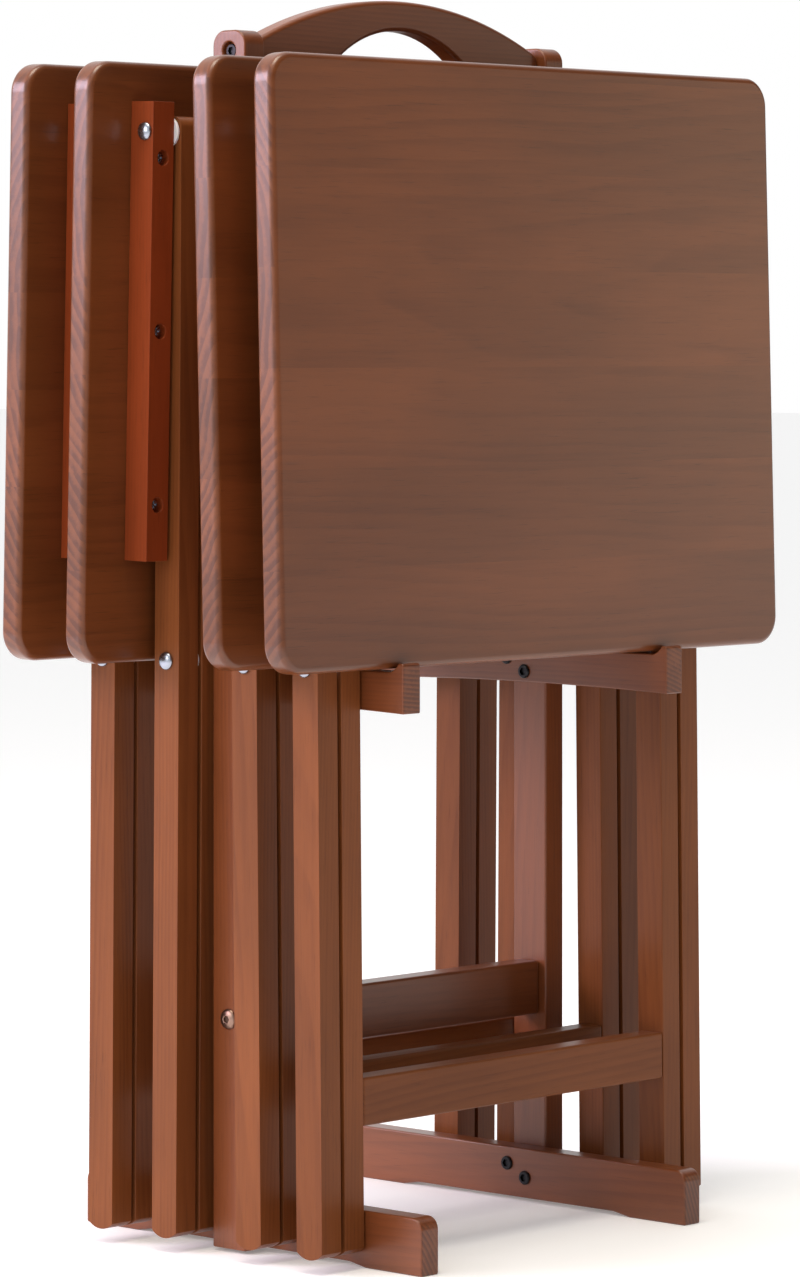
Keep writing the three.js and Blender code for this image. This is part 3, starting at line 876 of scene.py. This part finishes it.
def top_place(number):
    """A tabletop's own frame, on its hinge line. The hung top stands off the legs a little."""
    hinge = Matrix.Translation((0, LEG_DEEP / 2, LOCK_BAR_UP))
    return table_place(number) @ hinge @ Matrix.Rotation(TOP_HANG, 4, "X")


def top_body(number):
    """The body that a table's top moves with."""
    return f"tray_{number}_top" if f"tray_{number}_top" in frame["bodies"] else f"tray_{number}"


top_wood = stained_wood(
    "top_wood", TOP_EARLY, TOP_LATE,
    contrast=0.42, stave=STAVE, rough=0.31, ring=TOP_RING, shine=0.35, coat=0.5,
)

for number in TABLE_NUMBERS:
    r = TOP_CORNER
    right, head, foot = TOP_WIDE / 2, TOP_ABOVE_HINGE, TOP_ABOVE_HINGE - TOP_DEEP
    outline = arc(right - r, foot + r, r, -90, 0, 14) + arc(right - r, head - r, r, 0, 90, 14)
    outline += arc(r - right, head - r, r, 90, 180, 14) + arc(r - right, foot + r, r, 180, 270, 14)
    near, far = HINGE_TO_UNDERSIDE, HINGE_TO_UNDERSIDE + TOP_THICK
    board = sawn(outline, near, far, "Y")
    place = top_place(number)
    top = machined(f"tray_{number}_top_panel", board, TOP_EDGE, "X", place, edge_steps=5)
    top.data.materials.append(top_wood)
    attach(top, top_body(number))
    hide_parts(f"tray_{number}_tabletop")

# ------------------------------------------------------------------ the battens
# Two battens under each tabletop keep it flat and carry its hinge bolts. They sit just outside the
# outer legs, each held by three screws in counterbores.

BATTEN_DEEP = 20 * MM
BATTEN_LONG = 291.5 * MM
BATTEN_ABOVE = 19 * MM
BATTEN_UNDER_TOP = 0.3 * MM
BATTEN_EDGE = 1.2 * MM
SCREW_PITCH = 110 * MM
SCREW_SINK_R = 5 * MM
SCREW_SINK_DEEP = 5 * MM
BATTEN_EARLY = (0.265, 0.048, 0.012)
BATTEN_LATE = (0.150, 0.026, 0.006)

batten_wood = stained_wood("batten_wood", BATTEN_EARLY, BATTEN_LATE, contrast=0.4)
batten_face = HINGE_TO_UNDERSIDE - BATTEN_UNDER_TOP - BATTEN_DEEP
batten_middle_z = BATTEN_ABOVE - BATTEN_LONG / 2
screw_spots = {number: [] for number in TABLE_NUMBERS}

for number in TABLE_NUMBERS:
    place = top_place(number)
    for side in SIDES:
        node_name = f"tray_{number}_batten_{side}"
        across = sorted((place.inverted() @ spot).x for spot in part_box(node_name))
        middle_x = sum(across) / 2
        sinks = [drum((middle_x, 0, 0), (1, 0, 0), BORE_R, 2 * BATTEN_DEEP)]
        for step in (-1, 0, 1):
            spot = Vector((middle_x, batten_face, batten_middle_z + step * SCREW_PITCH))
            sinks.append(drum(spot, (0, 1, 0), SCREW_SINK_R, 2 * SCREW_SINK_DEEP))
            screw_spots[number].append(spot + Vector((0, SCREW_SINK_DEEP, 0)))
        near, far = batten_face, batten_face + BATTEN_DEEP
        foot, head = BATTEN_ABOVE - BATTEN_LONG, BATTEN_ABOVE
        board = sawn([(near, foot), (far, foot), (far, head), (near, head)], *across, "X")
        batten = machined(f"{node_name}_strip", board, BATTEN_EDGE, "Z", place, bores=sinks)
        batten.data.materials.append(batten_wood)
        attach(batten, top_body(number))
        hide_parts(node_name)

# ------------------------------------------------------------------ the batten screws
# A cross-recessed screw sits at the bottom of each counterbore. The heads are zinc plated.

SCREW_HEAD_R = 3.7 * MM
SCREW_RIM = 0.7 * MM
SCREW_CROWN_R = 2.9 * MM
SCREW_CROWN = 1.3 * MM
SCREW_HIGH = 1.5 * MM
SCREW_SIDES = 24
CROSS_LONG = 2.3 * MM
CROSS_WIDE = 0.55 * MM
CROSS_DEEP = 1 * MM


def cross_screw():
    """A flat screw head with a cross cut into it, along Z, with Z = 0 under the head."""
    head = turned(
        "batten_screw",
        [(0, 0), (SCREW_HEAD_R, 0), (SCREW_HEAD_R, SCREW_RIM), (SCREW_CROWN_R, SCREW_CROWN), (0, SCREW_HIGH)],
        SCREW_SIDES,
    )
    for long, wide in ((CROSS_LONG, CROSS_WIDE), (CROSS_WIDE, CROSS_LONG)):
        bar = bmesh.new()
        bmesh.ops.create_cube(bar, size=2, matrix=Matrix.Diagonal((long, wide, CROSS_DEEP, 1)))
        bmesh.ops.translate(bar, verts=bar.verts, vec=(0, 0, SCREW_HIGH))
        mesh = bpy.data.meshes.new("cross")
        bar.to_mesh(mesh)
        bar.free()
        tool = add_object("cross", mesh)
        cut = head.modifiers.new("cross", "BOOLEAN")
        cut.operation = "DIFFERENCE"
        cut.object = tool
        settle(head)
        bpy.data.objects.remove(tool)
    return head


screw = cross_screw()
for number in TABLE_NUMBERS:
    place = top_place(number)
    way = place.to_3x3() @ Vector((0, -1, 0))
    screw_places = [(place @ spot, way) for spot in screw_spots[number]]
    screws = set_hardware(f"tray_{number}_batten_screws", screw, screw_places, steel)
    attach(screws, top_body(number))

# ------------------------------------------------------------------ the hinge bolts
# A domed bolt through each batten and outer leg is the tabletop's hinge. A broad nylon washer keeps
# the batten off the leg.

HINGE_WASHER_R = 10 * MM
BATTEN_GAP = 2.6 * MM
BATTEN_WIDE = 18.5 * MM

hinge_bolt = through_bolt("hinge_bolt", BATTEN_WIDE + BATTEN_GAP + LEG_WIDE)
hinge_washer = nylon_washer("hinge_washer", HINGE_WASHER_R, BATTEN_GAP - WASHER_PLAY)

for number in TABLE_NUMBERS:
    place = top_place(number)
    turn = place.to_3x3()
    bolt_places = []
    washer_places = []
    for side, sign in zip(SIDES, (-1, 1)):
        across = [abs((place.inverted() @ spot).x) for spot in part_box(f"tray_{number}_batten_{side}")]
        way = turn @ Vector((sign, 0, 0))
        under_head = Vector((sign * (max(across) + UNDER_HEAD), 0, 0))
        between = Vector((sign * (min(across) - BATTEN_GAP / 2), 0, 0))
        bolt_places.append((place @ under_head, way))
        washer_places.append((place @ between, way))
    bolts = set_hardware(f"tray_{number}_hinge_bolts", hinge_bolt, bolt_places, steel)
    washers = set_hardware(f"tray_{number}_hinge_washers", hinge_washer, washer_places, nylon)
    for piece in (bolts, washers):
        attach(piece, top_body(number))
    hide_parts(*(f"tray_{number}_hinge_bolt_{side}" for side in SIDES))

for pattern in (socket_bolt, domed_bolt, scissor_bolt, scissor_washer, screw, hinge_bolt, hinge_washer):
    bpy.data.objects.remove(pattern)

# ------------------------------------------------------------------ the room
# A pale floor under a studio sky. The sky is white behind, above and to the left of the set, and
# dim in front of it, as in a room with white walls and a dark camera side.

FLOOR_HALF = 30.0
FLOOR_COLOUR = (0.92, 0.92, 0.92)
FLOOR_ROUGH = 0.8
FLOOR_GLOW = 0.2
BRIGHT_SIDE = (-0.447, 0.845, 0.298)
SKY_BRIGHT = 1.0
SKY_DIM = 0.08
SKY_FADE = (-0.42, 0.12)

floor = add_object("floor", bpy.data.meshes.new("floor"))
floor_corners = [(x * FLOOR_HALF, y * FLOOR_HALF, 0) for x, y in ((-1, -1), (1, -1), (1, 1), (-1, 1))]
floor.data.from_pydata(floor_corners, [], [(0, 1, 2, 3)])
floor_paint = bpy.data.materials.new("floor_paint")
floor_paint.use_nodes = True
paint_inputs = floor_paint.node_tree.nodes["Principled BSDF"].inputs
paint_inputs["Base Color"].default_value = (*FLOOR_COLOUR, 1)
paint_inputs["Roughness"].default_value = FLOOR_ROUGH
paint_inputs["Emission Color"].default_value = (1, 1, 1, 1)
paint_inputs["Emission Strength"].default_value = FLOOR_GLOW
floor.data.materials.append(floor_paint)

sky = bpy.data.worlds.new("studio")
bpy.context.scene.world = sky
sky.use_nodes = True
sky_nodes, sky_links = sky.node_tree.nodes, sky.node_tree.links
way = sky_nodes.new("ShaderNodeTexCoord")
toward = sky_nodes.new("ShaderNodeVectorMath")
toward.operation = "DOT_PRODUCT"
toward.inputs[1].default_value = BRIGHT_SIDE
sky_links.new(way.outputs["Generated"], toward.inputs[0])
fade = sky_nodes.new("ShaderNodeMapRange")
fade.interpolation_type = "SMOOTHSTEP"
fade_settings = (*SKY_FADE, SKY_DIM, SKY_BRIGHT)
for socket, setting in zip(("From Min", "From Max", "To Min", "To Max"), fade_settings):
    fade.inputs[socket].default_value = setting
sky_links.new(toward.outputs["Value"], fade.inputs["Value"])
sky_links.new(fade.outputs[0], sky_nodes["Background"].inputs["Strength"])
sky_nodes["Background"].inputs["Color"].default_value = (1.0, 1.0, 1.0, 1)
bpy.context.scene.view_settings.view_transform = "Standard"

# ------------------------------------------------------------------ the lights
# Soft panels: one at the left for the side faces, a lilac one behind it whose sheen lies along
# their upper parts, a weak warm one at the right for the front faces, and a warm one overhead.

MIDDLE = Vector((0, 0, 0.45))


def panel(name, azimuth, height, distance, size, power, colour):
    """An area light that looks at the middle of the set from an azimuth in degrees, 0 in front."""
    light = bpy.data.lights.new(name, "AREA")
    light.shape = "SQUARE"
    light.size = size
    light.energy = power
    light.color = colour
    made = bpy.data.objects.new(name, light)
    a = math.radians(azimuth)
    made.location = (distance * math.sin(a), -distance * math.cos(a), height)
    made.rotation_euler = (MIDDLE - made.location).to_track_quat("-Z", "Y").to_euler()
    bpy.context.scene.collection.objects.link(made)


panel("left_panel", azimuth=-104, height=1.3, distance=2.6, size=1.2, power=15, colour=(1.0, 0.9, 0.92))
panel("sheen_panel", azimuth=-130, height=1.4, distance=2.6, size=1.1, power=46, colour=(0.96, 0.8, 1.0))
panel("right_panel", azimuth=58, height=0.8, distance=3.0, size=1.0, power=5, colour=(1.0, 0.78, 0.58))
panel("top_panel", azimuth=-60, height=2.9, distance=0.6, size=1.2, power=40, colour=(1.0, 0.9, 0.74))

# ------------------------------------------------------------------ the camera
# A long lens, held level at almost three quarters of the set's height, looks at the set from its
# front left. The picture is shifted down, because the lens is higher than the middle of the set.

VIEW_AZIMUTH = math.radians(-47.1)
VIEW_DISTANCE = 3.4036
VIEW_SIDE = 0.0045
EYE_HEIGHT = 0.5803
STAND_X = -0.0042
FOCAL = 145.8
SENSOR_WIDE = 36
SHIFT = -0.2333
VIEW_REACH = 100

camera = bpy.data.objects.new("camera", bpy.data.cameras.new("camera"))
look = Vector((-math.sin(VIEW_AZIMUTH), math.cos(VIEW_AZIMUTH), 0))
right = Vector((look.y, -look.x, 0))
camera.location = Vector((STAND_X, 0, EYE_HEIGHT)) + VIEW_SIDE * right - VIEW_DISTANCE * look
camera.rotation_euler = look.to_track_quat("-Z", "Y").to_euler()
camera.data.lens = FOCAL
camera.data.sensor_width = SENSOR_WIDE
camera.data.shift_y = SHIFT
camera.data.clip_end = VIEW_REACH
bpy.context.scene.collection.objects.link(camera)
bpy.context.scene.camera = camera
